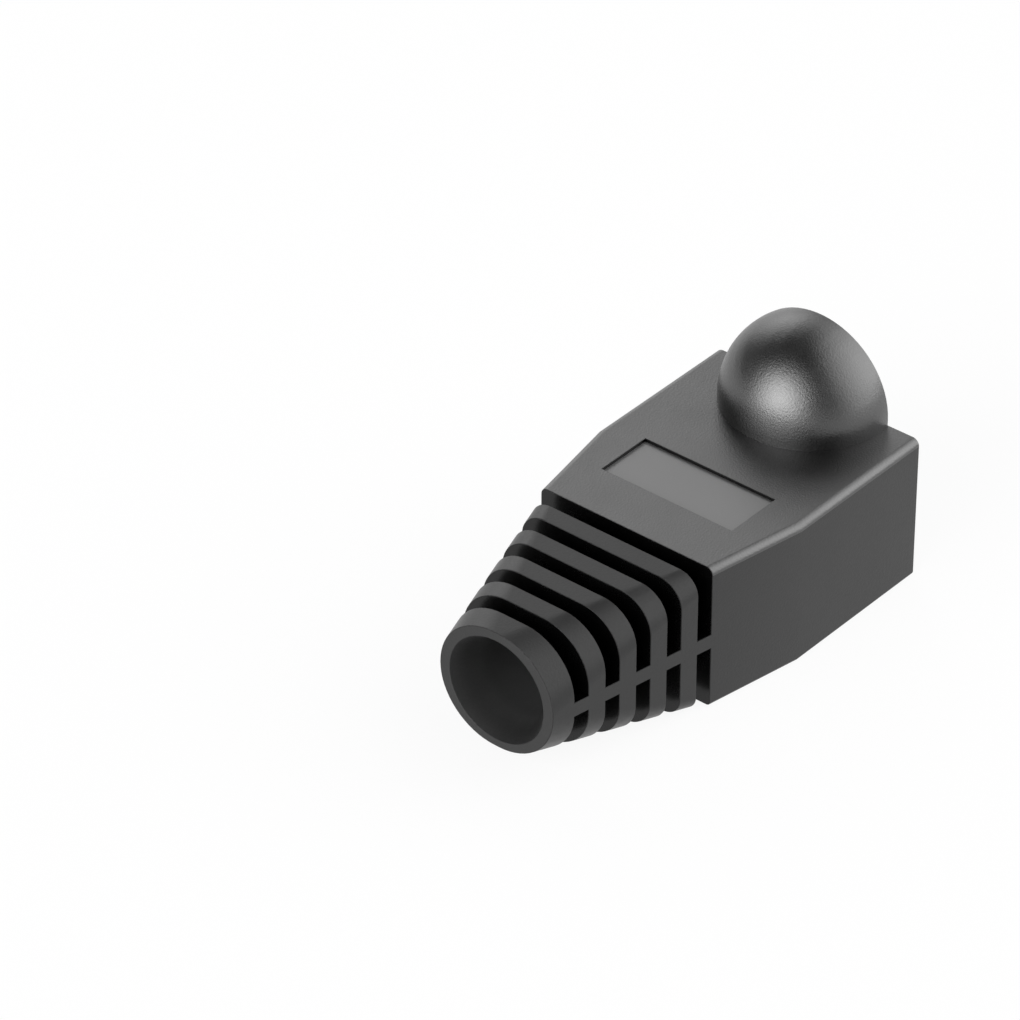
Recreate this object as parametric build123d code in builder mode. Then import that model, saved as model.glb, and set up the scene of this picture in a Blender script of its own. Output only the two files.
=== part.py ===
"""Strain relief boot for a modular plug: one moulded piece.

Sizes are in millimetres. +X points out of the plug end, -X out of the cable end,
+Z goes up through the hood, and the piece rests on Z = 0.
"""
from build123d import *

import os
from math import acos, degrees

os.makedirs("parts", exist_ok=True)

# Overall
length = 27.3
x_mouth = length / 2
x_end = -length / 2

# Body round the plug
body_width = 14.0
body_height = 9.04
straight_length = 10.4
body_length = 16.6
side_taper = 1.125
rear_width = body_width - 2 * side_taper
top_edge_radius = 0.45
base_edge_radius = 0.25
x_kink = x_mouth - straight_length
x_rear = x_mouth - body_length

# Cavity for the plug
side_wall = 0.85
top_wall = 0.55
mouth_width = body_width - 2 * side_wall
floor_height = 1.0
ceiling_height = body_height - top_wall
cavity_depth = 8.9
rear_cavity_depth = 15.0
rear_side_wall = 1.575
rear_cavity_width = rear_width - 2 * rear_side_wall
rear_top_wall = 1.44
rear_ceiling_height = body_height - rear_top_wall
x_step = x_mouth - cavity_depth
x_back = x_mouth - rear_cavity_depth

# Lip across the floor of the mouth
lip_height = 1.6
lip_land = 0.3
lip_run = 2.6

# Hood over the latch lever: a ball that the plane of the mouth cuts off
hood_radius = 4.96
hood_half_length = 4.78
hood_set_back = 1.0
hood_rise = 0.36
hood_axis_height = body_height + hood_rise
hood_start = degrees(acos(hood_set_back / hood_half_length))
hollow_radius = 4.33
hollow_rise = 0.32
hollow_axis_height = body_height + hollow_rise
hollow_straight = 1.26
hollow_round = 3.85
hollow_depth = hollow_rise + top_wall + 1.13

# Shallow recess on top of the body
recess_start = 9.47
recess_length = 3.73
recess_width = 8.9
recess_depth = 0.2

# Strain relief
slot_count = 5
slot_width = 0.94
ring_pitch = 2.08
relief_set_in = 0.02
relief_start_width = rear_width
relief_start_base = relief_set_in
relief_start_top = body_height - 2 * relief_set_in
relief_start_radius = 1.05
relief_start_base_radius = 0.65
relief_end_taper = 2.0
relief_end_width = relief_start_width - 2 * relief_end_taper
relief_end_base = 0.72
relief_end_drop = 0.9
relief_end_top = body_height - relief_end_drop
relief_end_radius = min(relief_end_width, relief_end_top - relief_end_base) / 2 - 0.01
bore_drop = 0.12
bore_height = body_height / 2 - bore_drop
core_radius = 2.9
bridge_height = 0.9
bridge_drop = 0.22
bridge_middle = body_height / 2 - bridge_drop
cutter_size = 2 * (body_width + body_height)

# Hole for the cable
bore_radius = 2.5
guide_radius = 3.1
guide_length = 1.2
flare_wall = 0.49
flare_radius = relief_end_radius - flare_wall
flare_length = 2.1

with BuildPart() as boot:
    # Body: parallel sides at the plug end, then narrowing toward the cable
    with BuildSketch(Plane.XY):
        with BuildLine():
            Polyline(
                (x_rear, -rear_width / 2),
                (x_kink, -body_width / 2),
                (x_mouth, -body_width / 2),
                (x_mouth, body_width / 2),
                (x_kink, body_width / 2),
                (x_rear, rear_width / 2),
                close=True,
            )
        make_face()
    extrude(amount=body_height)
    top_sides = boot.faces().sort_by(Axis.Z)[-1].edges().filter_by(
        lambda edge: abs(edge.tangent_at(0.5).X) > 0.5
    )
    fillet(top_sides, top_edge_radius)
    base_sides = boot.faces().sort_by(Axis.Z)[0].edges().filter_by(
        lambda edge: abs(edge.tangent_at(0.5).X) > 0.5
    )
    fillet(base_sides, base_edge_radius)

    # Hood: an upright foot in the ball's own plan, and the upper half of the ball on it
    with BuildSketch(Plane.XY.offset(body_height)):
        with BuildLine():
            plan = EllipticalCenterArc(
                (x_mouth - hood_set_back, 0),
                hood_half_length,
                hood_radius,
                start_angle=hood_start,
                arc_size=360 - 2 * hood_start,
            )
            Line(plan @ 1, plan @ 0)
        make_face()
    extrude(amount=hood_axis_height - body_height)
    with BuildSketch(Plane.XY.offset(hood_axis_height)):
        with BuildLine():
            crown = EllipticalCenterArc(
                (x_mouth - hood_set_back, 0),
                hood_half_length,
                hood_radius,
                start_angle=hood_start,
                arc_size=180 - hood_start,
            )
            Polyline(crown @ 1, (x_mouth, 0), crown @ 0)
        make_face()
    revolve(axis=Axis((0, 0, hood_axis_height), (1, 0, 0)), revolution_arc=180)

    # Strain relief: from a rounded oblong behind the body to a round end
    with BuildSketch(Plane.YZ.offset(x_rear)) as relief_start:
        with Locations((0, (relief_start_top + relief_start_base) / 2)):
            Rectangle(relief_start_width, relief_start_top - relief_start_base)
        fillet(relief_start.vertices().group_by(Axis.Y)[-1], relief_start_radius)
        fillet(relief_start.vertices().group_by(Axis.Y)[0], relief_start_base_radius)
    with BuildSketch(Plane.YZ.offset(x_end)) as relief_end:
        with Locations((0, (relief_end_top + relief_end_base) / 2)):
            Rectangle(relief_end_width, relief_end_top - relief_end_base)
        fillet(relief_end.vertices().group_by(Axis.Y)[-1], relief_end_radius)
        fillet(relief_end.vertices().group_by(Axis.Y)[0], relief_end_radius)
    loft(ruled=True)

    # Slots between the rings, down to the core, with a bridge left on both sides
    for slot in range(slot_count):
        x_slot = x_rear - slot * ring_pitch - slot_width
        with BuildSketch(Plane.YZ.offset(x_slot)):
            with Locations((0, bore_height)):
                Rectangle(cutter_size, cutter_size)
                Circle(core_radius, mode=Mode.SUBTRACT)
            with Locations((0, bridge_middle)):
                Rectangle(cutter_size, bridge_height, mode=Mode.SUBTRACT)
        extrude(amount=slot_width, mode=Mode.SUBTRACT)

    # Shallow recess on top
    with BuildSketch(Plane.XY.offset(body_height)):
        with Locations((x_mouth - recess_start - recess_length / 2, 0)):
            Rectangle(recess_length, recess_width)
    extrude(amount=-recess_depth, mode=Mode.SUBTRACT)

    # Cavity round the plug
    with BuildSketch(Plane.XY.offset(floor_height)):
        with Locations((x_mouth - cavity_depth / 2, 0)):
            Rectangle(cavity_depth, mouth_width)
    extrude(amount=ceiling_height - floor_height, mode=Mode.SUBTRACT)

    # Narrowing space behind the plug, where the wires spread
    with BuildSketch(Plane.XY.offset(floor_height)):
        with BuildLine():
            Polyline(
                (x_back, -rear_cavity_width / 2),
                (x_kink, -mouth_width / 2),
                (x_step, -mouth_width / 2),
                (x_step, mouth_width / 2),
                (x_kink, mouth_width / 2),
                (x_back, rear_cavity_width / 2),
                close=True,
            )
        make_face()
    extrude(amount=rear_ceiling_height - floor_height, mode=Mode.SUBTRACT)

    # Hollow of the hood, open to the cavity below
    with BuildSketch(Plane.XY.offset(hollow_axis_height)):
        with BuildLine():
            Polyline(
                (x_mouth - hollow_straight, -hollow_radius),
                (x_mouth, -hollow_radius),
                (x_mouth, hollow_radius),
                (x_mouth - hollow_straight, hollow_radius),
            )
            EllipticalCenterArc(
                (x_mouth - hollow_straight, 0),
                hollow_round,
                hollow_radius,
                start_angle=90,
                arc_size=180,
            )
        make_face()
    extrude(amount=-hollow_depth, mode=Mode.SUBTRACT)
    with BuildSketch(Plane.XY.offset(hollow_axis_height)):
        with BuildLine():
            Polyline(
                (x_mouth - hollow_straight - hollow_round, 0),
                (x_mouth, 0),
                (x_mouth, hollow_radius),
                (x_mouth - hollow_straight, hollow_radius),
            )
            EllipticalCenterArc(
                (x_mouth - hollow_straight, 0),
                hollow_round,
                hollow_radius,
                start_angle=90,
                arc_size=90,
            )
        make_face()
    revolve(
        axis=Axis((0, 0, hollow_axis_height), (1, 0, 0)),
        revolution_arc=180,
        mode=Mode.SUBTRACT,
    )

    # Lip that the plug slides over
    with BuildSketch(Plane.XZ):
        with BuildLine():
            Polyline(
                (x_mouth - lip_run, floor_height),
                (x_mouth, floor_height),
                (x_mouth, lip_height),
                (x_mouth - lip_land, lip_height),
                close=True,
            )
        make_face()
    extrude(amount=mouth_width / 2, both=True)

    # Cable hole: a guide cone inside, a straight bore, and a flare at the end
    with BuildSketch(Plane.XZ):
        with BuildLine():
            Polyline(
                (x_end + flare_length, bore_height + bore_radius),
                (x_back - guide_length, bore_height + bore_radius),
                (x_back, bore_height + guide_radius),
                (x_back, bore_height),
                (x_end, bore_height),
                (x_end, bore_height + flare_radius),
            )
            TangentArc(
                (x_end + flare_length, bore_height + bore_radius),
                (x_end, bore_height + flare_radius),
                tangent=(-1, 0),
            )
        make_face()
    revolve(axis=Axis((0, 0, bore_height), (1, 0, 0)), mode=Mode.SUBTRACT)

boot.part.label = "boot"
boot.part.color = Color(0.16, 0.16, 0.17)

export_step(boot.part, "parts/boot.step")
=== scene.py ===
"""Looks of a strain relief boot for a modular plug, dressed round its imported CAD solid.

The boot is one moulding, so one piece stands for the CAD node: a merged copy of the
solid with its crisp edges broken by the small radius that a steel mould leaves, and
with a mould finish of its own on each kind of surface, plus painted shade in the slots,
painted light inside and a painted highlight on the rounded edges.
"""

import logging
import math
from dataclasses import dataclass, field
from enum import Enum

import bmesh
import bpy
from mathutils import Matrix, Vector


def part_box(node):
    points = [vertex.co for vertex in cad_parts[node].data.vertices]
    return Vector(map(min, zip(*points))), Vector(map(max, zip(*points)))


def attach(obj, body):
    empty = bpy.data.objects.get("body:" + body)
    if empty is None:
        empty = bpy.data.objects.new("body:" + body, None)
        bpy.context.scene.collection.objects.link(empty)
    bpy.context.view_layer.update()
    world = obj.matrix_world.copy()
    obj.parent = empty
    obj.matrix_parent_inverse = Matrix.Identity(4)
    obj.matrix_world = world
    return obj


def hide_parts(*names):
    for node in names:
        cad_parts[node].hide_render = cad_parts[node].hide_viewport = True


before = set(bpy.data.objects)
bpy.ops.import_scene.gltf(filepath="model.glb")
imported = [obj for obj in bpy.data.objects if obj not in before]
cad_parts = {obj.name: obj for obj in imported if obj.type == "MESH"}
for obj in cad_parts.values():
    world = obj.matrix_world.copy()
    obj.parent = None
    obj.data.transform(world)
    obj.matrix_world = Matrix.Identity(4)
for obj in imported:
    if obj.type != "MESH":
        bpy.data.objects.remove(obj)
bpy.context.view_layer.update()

MM = 0.001
Socket = bpy.types.NodeSocket
log = logging.getLogger("boot")


class Surface(Enum):
    """The kinds of surface that the mould finishes differently, some with painted shade and light.

    SHELL is the top and the hood, FLANK the side walls, the underside, the rings and both
    ends, PAD the recess's floor, SLOT the slots and the recess's walls, which get painted
    shade, and INSIDE the cavity, the hood's hollow and the cable hole, which get painted light.
    """

    SHELL = 0
    FLANK = 1
    PAD = 2
    SLOT = 3
    INSIDE = 4


class NodeSheet:
    """The node tree of one material or world, with short calls to fill it.

    A noise pattern seldom goes below DARK_BELOW or above LIGHT_ABOVE.
    """

    DARK_BELOW = 0.3
    LIGHT_ABOVE = 0.7

    def __init__(self, tree: bpy.types.NodeTree) -> None:
        """Empties the tree.

        Args:
            tree: The node tree to fill.
        """
        self.tree = tree
        tree.nodes.clear()

    def add(
        self, kind: str, settings: dict[str, object] | None = None, **inputs: object
    ) -> bpy.types.Node:
        """Adds a node.

        Args:
            kind: The node's type, such as ShaderNodeBump.
            settings: Properties of the node itself, by name.
            **inputs: Values or output sockets for its inputs, by name with _ for a space,
                or i0, i1 and so on by number.

        Returns:
            The new node.
        """
        node = self.tree.nodes.new(kind)
        for name, value in (settings or {}).items():
            setattr(node, name, value)
        for name, value in inputs.items():
            by_number = name[0] == "i" and name[1:].isdigit()
            socket = node.inputs[int(name[1:]) if by_number else name.replace("_", " ")]
            if isinstance(value, Socket):
                self.tree.links.new(value, socket)
            else:
                socket.default_value = value
        return node

    def combine(self, operation: str, *values: Socket | float) -> Socket:
        """Adds a sum, a product or another operation on numbers.

        Args:
            operation: The operation of the Math node, such as MULTIPLY_ADD.
            *values: Its numbers or output sockets, in the node's order.

        Returns:
            The result.
        """
        inputs = {f"i{number}": value for number, value in enumerate(values)}
        return self.add("ShaderNodeMath", {"operation": operation}, **inputs).outputs[0]

    def blend(self, value: Socket, start: float, end: float, before: float, after: float) -> Socket:
        """Goes smoothly from one number to another while a value rises.

        Args:
            value: The value that rises.
            start: Where the change starts.
            end: Where the change ends.
            before: The number up to the start.
            after: The number from the end on.

        Returns:
            The number.
        """
        node = self.add(
            "ShaderNodeMapRange",
            {"interpolation_type": "SMOOTHSTEP"},
            Value=value,
            From_Min=start,
            From_Max=end,
            To_Min=before,
            To_Max=after,
        )
        return node.outputs["Result"]

    def noise(self, where: Socket, size: float, detail: float) -> Socket:
        """Adds a noise pattern.

        Args:
            where: The coordinates that it follows, in metres.
            size: The width of one blot, in metres.
            detail: How many finer layers it has.

        Returns:
            The pattern, from 0 to 1 about a mean of 0.5.
        """
        node = self.add("ShaderNodeTexNoise", Vector=where, Scale=1 / size, Detail=detail)
        return node.outputs["Fac"]

    def spread(self, pattern: Socket, low: float, high: float) -> Socket:
        """Stretches the middle of a noise pattern between two values.

        Args:
            pattern: A pattern about 0.5.
            low: What its dark blots become.
            high: What its light blots become.

        Returns:
            The stretched pattern.
        """
        return self.blend(pattern, self.DARK_BELOW, self.LIGHT_ABOVE, low, high)


@dataclass(frozen=True)
class FinishAndPaintedShading:
    """Near-black soft plastic as one kind of mould surface leaves it, plus painted shade and light.

    Greys are linear. Sizes are in metres. The flow is the broad pattern and the grain the
    fine one, which varies by fleck_share of each spread. The rounded edges get a painted
    highlight. The cable hole's colour is lighter by a set painted light, where its shade
    falls, up to bore_core from bore_middle, and that fades out at bore_reach.
    """

    name: str
    tone: float
    tone_spread: float
    roughness: float
    roughness_spread: float
    grain: float
    grain_depth: float
    grain_detail: float = 2.0
    fleck_share: float = 0.5
    flow: float = 3.5 * MM
    flow_depth: float = 0.004 * MM
    flow_detail: float = 3.0
    edge_painted_highlight: float = 0.001
    edge_wear: float = 0.25
    ior: float = 1.9
    bore_painted_light: float = 0.0
    bore_middle: float = -8.5 * MM
    bore_core: float = 3.0 * MM
    bore_reach: float = 4.7 * MM

    def material(self) -> bpy.types.Material:
        """Builds the finish as a procedural material.

        Returns:
            The material.
        """
        material = bpy.data.materials.new(self.name)
        material.use_nodes = True
        sheet = NodeSheet(material.node_tree)
        where = sheet.add("ShaderNodeTexCoord").outputs["Object"]
        edge = sheet.add("ShaderNodeAttribute", {"attribute_name": Moulding.EDGE}).outputs["Fac"]
        flow = sheet.noise(where, self.flow, self.flow_detail)
        grain = sheet.noise(where, self.grain, self.grain_detail)
        bsdf = sheet.add(
            "ShaderNodeBsdfPrincipled",
            Base_Color=self._colour(sheet, where, flow, grain, edge),
            Roughness=self._roughness(sheet, flow, grain, edge),
            Normal=self._relief(sheet, flow, grain),
            IOR=self.ior,
        )
        sheet.add("ShaderNodeOutputMaterial", Surface=bsdf.outputs["BSDF"])
        return material

    def _colour(
        self, sheet: NodeSheet, where: Socket, flow: Socket, grain: Socket, edge: Socket
    ) -> Socket:
        """Makes the grey, cloudy along the plastic's flow, with a painted highlight on edges and
        painted light in the bore.

        Args:
            sheet: The material's nodes.
            where: The place on the boot.
            flow: The broad pattern.
            grain: The fine pattern.
            edge: 1 on the rounded edges.

        Returns:
            The colour.
        """
        cloud = sheet.spread(flow, self.tone - self.tone_spread, self.tone + self.tone_spread)
        lightest = self.tone_spread * self.fleck_share
        fleck = sheet.spread(grain, -lightest, lightest)
        both = sheet.combine("ADD", cloud, fleck)
        # Painted highlight: the rounded edges' grey is made lighter.
        grey = sheet.combine("MULTIPLY_ADD", edge, self.edge_painted_highlight, both)
        # Painted light: the cable hole's grey is lighter around bore_middle, where its shade falls.
        if self.bore_painted_light > 0:
            along = sheet.add("ShaderNodeSeparateXYZ", Vector=where).outputs["X"]
            offset = sheet.combine("SUBTRACT", along, self.bore_middle)
            depth = sheet.combine("ABSOLUTE", offset)
            bore = sheet.blend(depth, self.bore_core, self.bore_reach, self.bore_painted_light, 0.0)
            grey = sheet.combine("ADD", grey, bore)
        return sheet.add("ShaderNodeCombineColor", i0=grey, i1=grey, i2=grey).outputs["Color"]

    def _roughness(self, sheet: NodeSheet, flow: Socket, grain: Socket, edge: Socket) -> Socket:
        """Makes the gloss vary, with lighter flecks shinier and the edges rubbed duller.

        Args:
            sheet: The material's nodes.
            flow: The broad pattern.
            grain: The fine pattern.
            edge: 1 on the rounded edges.

        Returns:
            The roughness.
        """
        low, high = self.roughness - self.roughness_spread, self.roughness + self.roughness_spread
        cloud = sheet.spread(flow, low, high)
        dullest = self.roughness_spread * self.fleck_share
        fleck = sheet.spread(grain, dullest, -dullest)
        both = sheet.combine("ADD", cloud, fleck)
        return sheet.combine("MULTIPLY_ADD", edge, self.edge_wear, both)

    def _relief(self, sheet: NodeSheet, flow: Socket, grain: Socket) -> Socket:
        """Raises the fine grain of the mould on a faint unevenness of the wall.

        Args:
            sheet: The material's nodes.
            flow: The broad pattern.
            grain: The fine pattern.

        Returns:
            The normal.
        """
        broad = sheet.add("ShaderNodeBump", Strength=1.0, Distance=self.flow_depth, Height=flow)
        fine = sheet.add(
            "ShaderNodeBump",
            Strength=1.0,
            Distance=self.grain_depth,
            Height=grain,
            Normal=broad.outputs["Normal"],
        )
        return fine.outputs["Normal"]


@dataclass
class Moulding:
    """The boot's moulding, as a dressed copy of its CAD node.

    Sizes are in metres, in the CAD frame: the plug end is at +X, and Z is up. An edge that
    turns outward by more than crisp_above is rounded, unless an edge that meets it is
    shorter than least_spoke times the radius. A face looks along an axis that has a share
    above facing in its normal, or above bridge_facing for the bridges' level sides.
    """

    EDGE = "rounded_edge"

    node: str = "boot"
    piece_name: str = "boot_moulding"
    body: str = "root"
    slot: str = "boot"

    merge_gap: float = 0.0005 * MM
    flat_within: float = math.radians(0.05)
    crisp_above: float = math.radians(24)
    sliver_height: float = 0.005 * MM
    edge_radius: float = 0.04 * MM
    edge_segments: int = 2
    least_spoke: float = 1.3
    snug: float = 0.03 * MM
    wall_tilt: float = 0.05
    facing: float = 0.9
    bridge_facing: float = 0.995

    body_length: float = 16.6 * MM
    body_height: float = 9.04 * MM
    recess_start: float = 9.47 * MM
    recess_length: float = 3.73 * MM
    recess_width: float = 8.9 * MM
    recess_depth: float = 0.2 * MM
    bore_height: float = 4.4 * MM
    core_radius: float = 2.9 * MM
    bridge_reach: float = 1.0 * MM
    middle_height: float = 4.7 * MM
    hood_set_back: float = 1.0 * MM
    hood_height: float = 9.4 * MM

    finishes_and_painted_shading: dict[Surface, FinishAndPaintedShading] = field(
        default_factory=lambda: {
            Surface.SHELL: FinishAndPaintedShading(
                name="spark_textured_plastic",
                tone=0.003,
                tone_spread=0.0010,
                roughness=0.34,
                roughness_spread=0.03,
                grain=0.11 * MM,
                grain_depth=0.0135 * MM,
            ),
            Surface.FLANK: FinishAndPaintedShading(
                name="drawn_wall_plastic",
                tone=0.005,
                tone_spread=0.0012,
                roughness=0.40,
                roughness_spread=0.03,
                grain=0.11 * MM,
                grain_depth=0.0070 * MM,
                ior=1.5,
            ),
            Surface.PAD: FinishAndPaintedShading(
                name="smooth_pad_plastic",
                tone=0.063,
                tone_spread=0.0020,
                roughness=0.36,
                roughness_spread=0.02,
                grain=0.07 * MM,
                grain_depth=0.0008 * MM,
            ),
            # Painted shade: the slots, the recess's walls and the bridges' level sides are near-black.
            Surface.SLOT: FinishAndPaintedShading(
                name="slot_wall_painted_shade",
                tone=0.0008,
                tone_spread=0.0002,
                roughness=0.26,
                roughness_spread=0.02,
                grain=0.08 * MM,
                grain_depth=0.0006 * MM,
                edge_painted_highlight=0.0,
                ior=1.35,
            ),
            # Painted light: the cavity, the hood's hollow and the cable hole are a lighter grey than
            # the shell, lighter still in the middle of the cable hole.
            Surface.INSIDE: FinishAndPaintedShading(
                name="core_side_plastic_painted_light",
                tone=0.010,
                tone_spread=0.0012,
                roughness=0.60,
                roughness_spread=0.04,
                grain=0.12 * MM,
                grain_depth=0.0020 * MM,
                ior=1.35,
                bore_painted_light=0.022,
            ),
        }
    )
    x_end: float = field(init=False)
    x_mouth: float = field(init=False)

    def __post_init__(self) -> None:
        """Reads from the CAD node's mesh where the two ends are."""
        lowest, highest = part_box(self.node)
        self.x_end, self.x_mouth = lowest.x, highest.x

    def build(self) -> bpy.types.Object:
        """Makes the dressed piece and puts it in the CAD node's place.

        Returns:
            The piece.
        """
        mesh = self._rounded_mesh(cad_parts[self.node].data)
        piece = bpy.data.objects.new(self.piece_name, mesh)
        bpy.context.scene.collection.objects.link(piece)
        self._dress(piece)
        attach(piece, self.body)
        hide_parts(self.node)
        return piece

    def _rounded_mesh(self, solid: bpy.types.Mesh) -> bpy.types.Mesh:
        """Copies the solid's mesh, merges it and rounds its crisp edges.

        Args:
            solid: The CAD node's mesh, which stays as it is.

        Returns:
            The new mesh.
        """
        bm = bmesh.new()
        bm.from_mesh(solid)
        self._merge(bm)
        edge_mark = bm.faces.layers.float.new(self.EDGE)
        for face in bm.faces:
            face.material_index = self._surface_of(face.calc_center_median(), face.normal).value
        self._round_edges(bm, edge_mark)
        self._mark_sharp_edges(bm, edge_mark)
        corner_normals = self._corner_normals(bm, edge_mark)
        mesh = bpy.data.meshes.new(self.piece_name)
        bm.to_mesh(mesh)
        bm.free()
        mesh.normals_split_custom_set(corner_normals)
        return mesh

    def _merge(self, bm: bmesh.types.BMesh) -> None:
        """Joins the solid's surfaces at their edges, and makes one face of each flat wall.

        Args:
            bm: The copy of the solid.
        """
        bmesh.ops.remove_doubles(bm, verts=bm.verts, dist=self.merge_gap)
        bmesh.ops.dissolve_degenerate(bm, edges=bm.edges, dist=self.merge_gap)
        bmesh.ops.dissolve_limit(
            bm,
            angle_limit=self.flat_within,
            use_dissolve_boundaries=False,
            verts=bm.verts,
            edges=bm.edges,
            delimit=set(),
        )
        bm.normal_update()

    def _round_edges(self, bm: bmesh.types.BMesh, edge_mark: bmesh.types.BMLayerItem) -> None:
        """Rounds the crisp edges and marks the faces that this makes.

        Args:
            bm: The merged solid.
            edge_mark: The layer that marks the rounded edges' faces.
        """
        rounded = bmesh.ops.bevel(
            bm,
            geom=self._crisp_edges(bm),
            offset=self.edge_radius,
            offset_type="OFFSET",
            affect="EDGES",
            segments=self.edge_segments,
            profile=0.5,
            material=-1,
            clamp_overlap=False,
            loop_slide=True,
        )
        for face in rounded["faces"]:
            face[edge_mark] = 1.0
        bm.normal_update()

    def _mark_sharp_edges(self, bm: bmesh.types.BMesh, edge_mark: bmesh.types.BMLayerItem) -> None:
        """Smooths every face and edge, but for the inward corners and the edges left crisp.

        Args:
            bm: The rounded solid.
            edge_mark: The layer that marks the rounded edges' faces.
        """
        for face in bm.faces:
            face.smooth = True
        for edge in bm.edges:
            plain = not any(face[edge_mark] for face in edge.link_faces)
            turn = self._turn(edge)
            edge.smooth = turn > -self.crisp_above and not (plain and turn > self.crisp_above)

    @staticmethod
    def _corner_normals(
        bm: bmesh.types.BMesh, edge_mark: bmesh.types.BMLayerItem
    ) -> list[Vector]:
        """Shades each surface by its own faces, so that a rounded edge doesn't tilt it.

        Args:
            bm: The rounded solid, with its sharp edges marked.
            edge_mark: The layer that marks the rounded edges' faces.

        Returns:
            The normal at each corner of each face, in the mesh's order.
        """
        normals = {}
        for vert in bm.verts:
            waiting = list(vert.link_loops)
            while waiting:
                # Corners that no sharp edge parts share one normal.
                group = [waiting.pop(0)]
                for loop in group:
                    for edge in (loop.edge, loop.link_loop_prev.edge):
                        if edge.smooth:
                            near = [other for other in waiting if edge in other.face.edges]
                            waiting = [other for other in waiting if other not in near]
                            group.extend(near)
                broad = [loop for loop in group if not loop.face[edge_mark]] or group
                total = Vector()
                for loop in broad:
                    total += loop.face.normal * (loop.face.calc_area() / MM**2 * loop.calc_angle())
                for loop in group:
                    normals[loop] = total.normalized()
        return [normals[loop] for face in bm.faces for loop in face.loops]

    def _turn(self, edge: bmesh.types.BMEdge) -> float:
        """Measures how far the surface turns at an edge.

        Args:
            edge: The edge, with a face on each side.

        Returns:
            The angle, above 0 where it turns outward. Beside a sliver, whose own direction
            means nothing, it is 0.
        """
        smaller = min(face.calc_area() for face in edge.link_faces)
        # A triangle's height is twice its area over its base.
        is_sliver = 2 * smaller < self.sliver_height * edge.calc_length()
        return 0.0 if is_sliver else edge.calc_face_angle_signed(0)

    def _crisp_edges(self, bm: bmesh.types.BMesh) -> list[bmesh.types.BMEdge]:
        """Finds the outward edges that the rounding breaks.

        Args:
            bm: The merged solid.

        Returns:
            The edges to round. Where the mesh is finer than the rounding, as at the hood's
            pole, an edge is left out.
        """
        crisp = {edge for edge in bm.edges if edge.is_manifold and self._turn(edge) > self.crisp_above}
        finest = self.least_spoke * self.edge_radius
        crowded = {
            vert
            for edge in crisp
            for vert in edge.verts
            if any(spoke not in crisp and spoke.calc_length() < finest for spoke in vert.link_edges)
        }
        return [edge for edge in bm.edges if edge in crisp and crowded.isdisjoint(edge.verts)]

    def _surface_of(self, centre: Vector, normal: Vector) -> Surface:
        """Tells which kind of surface a face of the solid belongs to.

        Args:
            centre: The face's middle.
            normal: The face's direction.

        Returns:
            The kind of surface.
        """
        if centre.x < self.x_end + self.snug or centre.x > self.x_mouth - self.snug:
            return Surface.FLANK
        if centre.x < self.x_mouth - self.body_length + self.snug:
            return self._relief_surface(centre, normal)
        if self._in_recess(centre):
            return Surface.PAD if normal.z > self.facing else Surface.SLOT
        if centre.z > self.body_height + self.snug:
            hood_middle = Vector((self.x_mouth - self.hood_set_back, 0, self.hood_height))
            return Surface.SHELL if normal.dot(centre - hood_middle) > 0 else Surface.INSIDE
        outward = Vector((0, centre.y, centre.z - self.middle_height))
        if abs(normal.x) > self.facing or normal.dot(outward) < 0:
            return Surface.INSIDE
        return Surface.SHELL if normal.z > self.wall_tilt else Surface.FLANK

    def _in_recess(self, centre: Vector) -> bool:
        """Tells whether a face lies in the shallow recess on top.

        Args:
            centre: The face's middle.

        Returns:
            True in the recess.
        """
        along = self.x_mouth - self.recess_start - centre.x
        return (
            -self.snug < along < self.recess_length + self.snug
            and abs(centre.y) < self.recess_width / 2 + self.snug
            and -self.recess_depth - self.snug < centre.z - self.body_height < -self.snug
        )

    def _relief_surface(self, centre: Vector, normal: Vector) -> Surface:
        """Tells which kind of surface a face behind the body belongs to.

        Args:
            centre: The face's middle.
            normal: The face's direction.

        Returns:
            The rings' outside, the slots between them, or the cable hole.
        """
        outward = Vector((0, centre.y, centre.z - self.bore_height))
        along = abs(normal.x) > self.facing
        if not along and normal.dot(outward) < 0:
            return Surface.INSIDE
        if along or outward.length < self.core_radius + self.snug:
            return Surface.SLOT
        # The bridges' level sides look into the slots.
        level = abs(normal.z) > self.bridge_facing
        at_bridge = abs(centre.z - self.bore_height) < self.bridge_reach
        return Surface.SLOT if level and at_bridge else Surface.FLANK

    def _dress(self, piece: bpy.types.Object) -> None:
        """Gives the piece its finishes, with their painted shade and light."""
        for surface in Surface:
            piece.data.materials.append(self.finishes_and_painted_shading[surface].material())


@dataclass(frozen=True)
class Softbox:
    """A round soft lamp with a grid, brightest in its middle, which shines at the boot.

    Angles are in degrees, as seen from the boot. A bearing of 0 is +X and 90 is +Y. The
    reach is from the lamp's middle to its rim. A brightness of 1 is white to the camera.
    The distance is in metres.
    """

    name: str
    bearing: float
    height_angle: float
    reach: float
    brightness: float
    distance: float = 0.6

    def build(self) -> None:
        """Makes the lamp and aims it at the boot."""
        reach = math.radians(self.reach)
        radius = self.distance * math.tan(reach)
        # The grid brightens the lamp's middle, so the lamp gets that much less power.
        grid_gain = math.tan(reach) / (math.tan(reach) - reach)
        lamp = bpy.data.lights.new(self.name, "AREA")
        lamp.shape = "DISK"
        lamp.size = 2 * radius
        lamp.spread = 2 * reach
        lamp.energy = (math.pi * radius) ** 2 * self.brightness / grid_gain
        bearing, height = math.radians(self.bearing), math.radians(self.height_angle)
        away = Vector(
            (
                math.cos(bearing) * math.cos(height),
                math.sin(bearing) * math.cos(height),
                math.sin(height),
            )
        )
        lamp_object = bpy.data.objects.new(self.name, lamp)
        lamp_object.location = away * self.distance
        lamp_object.rotation_euler = away.to_track_quat("Z", "Y").to_euler()
        bpy.context.scene.collection.objects.link(lamp_object)


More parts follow.
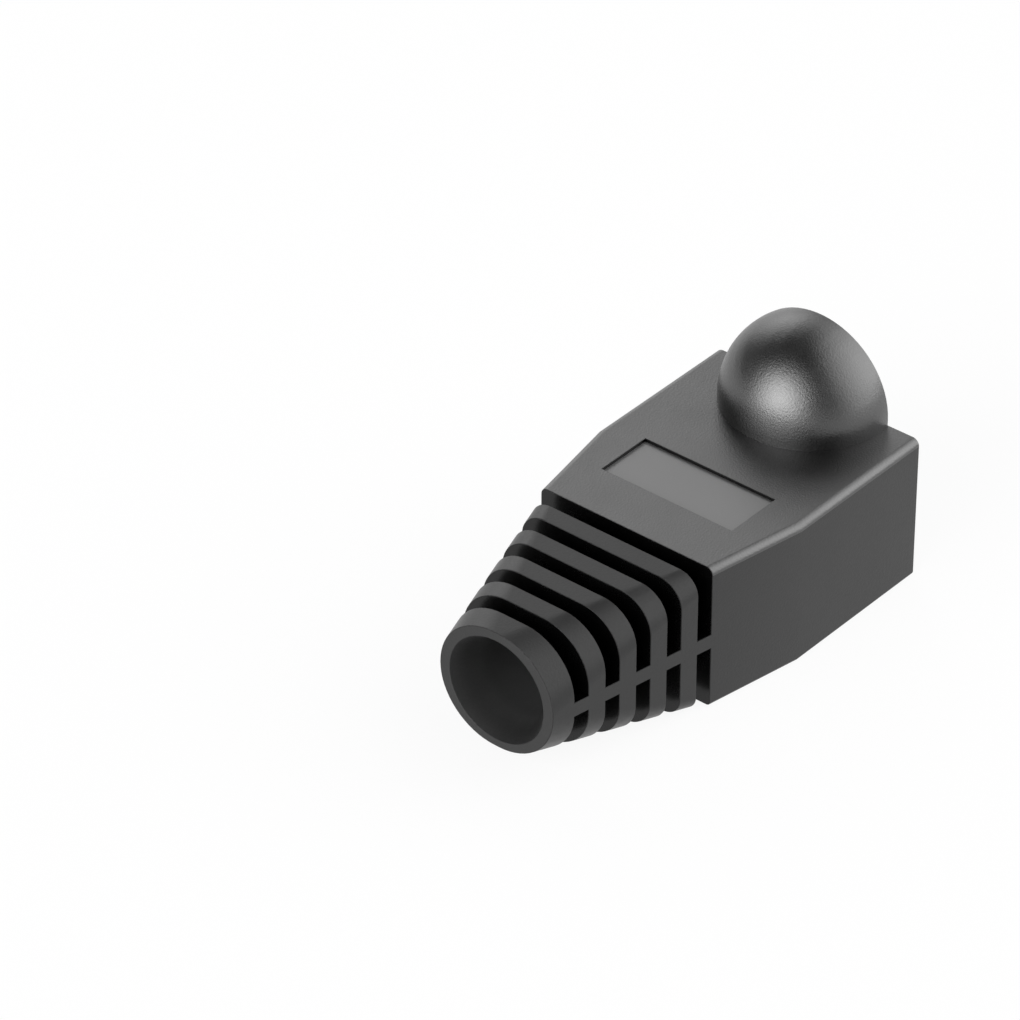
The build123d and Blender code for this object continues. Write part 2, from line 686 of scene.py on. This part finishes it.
@dataclass
class Studio:
    """Pale floor, soft lamps, dim ceiling and the camera.

    The floor's and the camera's places are in metres, the camera's angles in degrees, and
    its lens and sensor in millimetres. The room's light is listed by height, where 0 is the
    horizon and 1 is straight up.
    """

    floor_half: float = 2.0
    floor_drop: float = 0.01 * MM
    floor_albedo: float = 0.75
    floor_white_share: float = 0.91
    room_light: tuple[tuple[float, float], ...] = ((0.06, 1.0), (0.11, 0.14), (0.8, 0.03))

    target: tuple[float, float, float] = (2.4826 * MM, 12.6185 * MM, 1.4715 * MM)
    azimuth: float = -49.944
    elevation: float = 35.350
    distance: float = 328.49 * MM
    lens: float = 208.907
    sensor: float = 36.0
    clip_start: float = 0.01

    lamps: tuple[Softbox, ...] = (
        Softbox("cable_side_softbox", bearing=176.7, height_angle=19.3, reach=40.3, brightness=8.15),
        Softbox("plug_side_softbox", bearing=-40.0, height_angle=24.4, reach=59.6, brightness=3.45),
        Softbox("far_softbox", bearing=55.8, height_angle=29.0, reach=31.5, brightness=2.75),
    )

    def build(self) -> None:
        """Makes the floor, the room, the lamps and the camera."""
        self._floor()
        self._world()
        for lamp in self.lamps:
            lamp.build()
        self._camera()
        bpy.context.scene.view_settings.view_transform = "Standard"

    def _floor(self) -> None:
        """Lays the plain floor under the boot."""
        bm = bmesh.new()
        bmesh.ops.create_grid(bm, x_segments=1, y_segments=1, size=self.floor_half)
        bmesh.ops.translate(bm, verts=bm.verts, vec=(0, 0, -self.floor_drop))
        mesh = bpy.data.meshes.new("floor")
        bm.to_mesh(mesh)
        bm.free()
        floor = bpy.data.objects.new("floor", mesh)
        bpy.context.scene.collection.objects.link(floor)
        mesh.materials.append(self._floor_material())

    def _floor_material(self) -> bpy.types.Material:
        """Builds a pale floor, almost white where it is seen, so that the shadow stays faint.

        Returns:
            The material.
        """
        material = bpy.data.materials.new("pale_floor")
        material.use_nodes = True
        sheet = NodeSheet(material.node_tree)
        grey = (self.floor_albedo,) * 3 + (1.0,)
        matt = sheet.add("ShaderNodeBsdfDiffuse", Color=grey).outputs[0]
        white = sheet.add("ShaderNodeEmission", Strength=1.0).outputs[0]
        share = sheet.combine("MULTIPLY", self._seen(sheet), self.floor_white_share)
        mixed = sheet.add("ShaderNodeMixShader", i0=share, i1=matt, i2=white)
        sheet.add("ShaderNodeOutputMaterial", Surface=mixed.outputs[0])
        return material

    @staticmethod
    def _seen(sheet: NodeSheet) -> Socket:
        """Gives 1 where something is seen, directly, mirrored or through glass.

        Args:
            sheet: The nodes that need it.

        Returns:
            1 for camera, glossy and transmission rays, and 0 for the light of the room.
        """
        path = sheet.add("ShaderNodeLightPath").outputs
        mirrored = sheet.combine("MAXIMUM", path["Is Glossy Ray"], path["Is Transmission Ray"])
        return sheet.combine("MAXIMUM", path["Is Camera Ray"], mirrored)

    def _world(self) -> None:
        """Makes the room: a white strip along the horizon, and dim towards the ceiling."""
        world = bpy.data.worlds.new("studio_room")
        world.use_nodes = True
        bpy.context.scene.world = world
        sheet = NodeSheet(world.node_tree)
        where = sheet.add("ShaderNodeTexCoord").outputs["Generated"]
        height = sheet.add("ShaderNodeSeparateXYZ", Vector=where).outputs["Z"]
        room = sheet.add("ShaderNodeValToRGB", i0=height)
        room.color_ramp.interpolation = "EASE"
        marks = room.color_ramp.elements
        for step, (level, light) in enumerate(self.room_light):
            mark = marks[step] if step < len(marks) else marks.new(level)
            mark.position = level
            mark.color = (light, light, light, 1)
        glow = sheet.add("ShaderNodeBackground", Color=room.outputs["Color"])
        sheet.add("ShaderNodeOutputWorld", Surface=glow.outputs[0])

    def _camera(self) -> None:
        """Sets up the camera at the photograph's angle."""
        around, up = math.radians(self.azimuth), math.radians(self.elevation)
        back = Vector(
            (
                math.sin(around) * math.cos(up),
                -math.cos(around) * math.cos(up),
                math.sin(up),
            )
        )
        data = bpy.data.cameras.new("camera")
        data.lens = self.lens
        data.sensor_width = self.sensor
        data.clip_start = self.clip_start
        camera = bpy.data.objects.new("camera", data)
        camera.location = Vector(self.target) + back * self.distance
        camera.rotation_euler = (-back).to_track_quat("-Z", "Y").to_euler()
        bpy.context.scene.collection.objects.link(camera)
        bpy.context.scene.camera = camera


def main() -> None:
    """Builds the boot and the studio, and reports each piece."""
    logging.basicConfig(level=logging.INFO, format="%(name)s: %(message)s")
    moulding = Moulding().build()
    log.info("%s: %d faces", moulding.name, len(moulding.data.polygons))
    Studio().build()
    log.info("studio: floor, lamps, room and camera")


if __name__ == "__main__":
    main()
